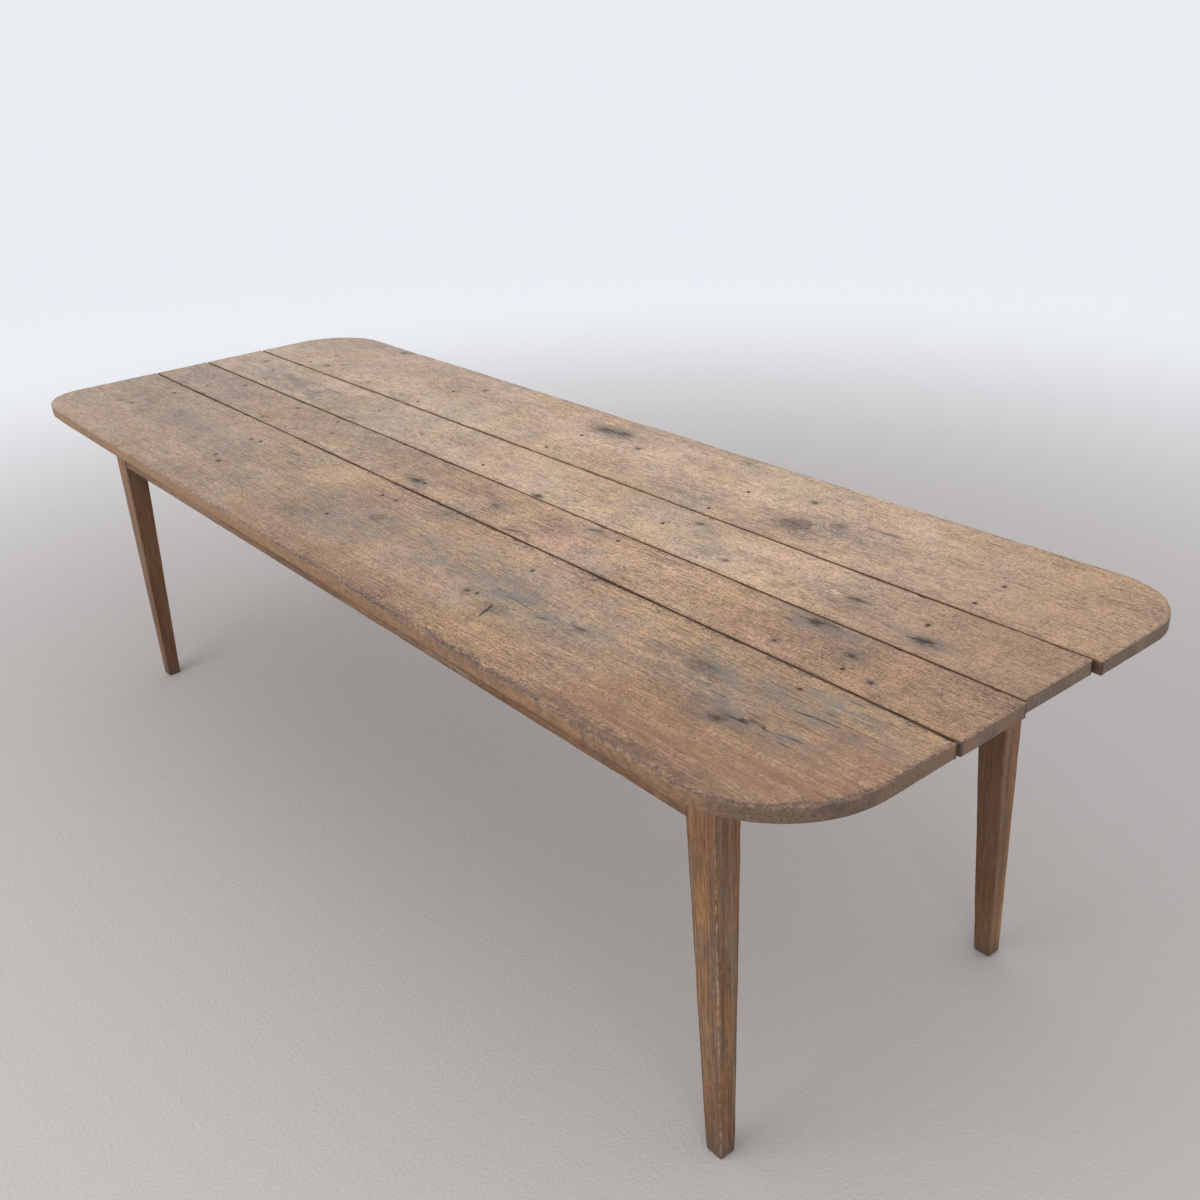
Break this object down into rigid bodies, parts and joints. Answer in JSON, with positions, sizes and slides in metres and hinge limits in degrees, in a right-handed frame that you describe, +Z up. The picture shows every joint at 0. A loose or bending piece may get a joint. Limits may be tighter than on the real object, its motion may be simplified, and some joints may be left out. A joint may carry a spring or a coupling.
{
  "type": "farmhouse table",
  "caption": "Long plank-topped farmhouse table with hand-rounded corners, plain aprons and slender tapered square legs, for dining or kitchen work.",
  "frame": {"origin": "on the floor, under the middle of the top", "axes": "+X along the table to its right end, +Y towards its back edge, +Z up"},
  "size_m": [2.664, 0.916, 0.76],
  "materials": {
    "top_wood": "weathered, scrubbed and matte, with dark knots and blue-grey stains",
    "frame_wood": "red-brown, worn smooth, with a faint old wax sheen",
    "hidden_wood": "bare and dusty, never finished",
    "nail_iron": "dark rusted forged iron"
  },
  "bodies": {
    "root": {"top_plank_front": "top_wood", "top_plank_inner_front": "top_wood", "top_plank_inner_back": "top_wood", "top_plank_back": "top_wood", "tongue_front": "hidden_wood", "tongue_middle": "hidden_wood", "tongue_back": "hidden_wood", "apron_front": "frame_wood", "apron_back": "frame_wood", "apron_left": "frame_wood", "apron_right": "frame_wood", "leg_front_left": "frame_wood", "leg_front_right": "frame_wood", "leg_back_left": "frame_wood", "leg_back_right": "frame_wood", "bearer_left": "hidden_wood", "bearer_middle": "hidden_wood", "bearer_right": "hidden_wood", "pegs_front_left": "frame_wood", "pegs_front_right": "frame_wood", "pegs_back_left": "frame_wood", "pegs_back_right": "frame_wood", "nails_left_end": "nail_iron", "nails_left_bearer": "nail_iron", "nails_middle_bearer": "nail_iron", "nails_right_bearer": "nail_iron", "nails_right_end": "nail_iron"}
  },
  "joints": []
}
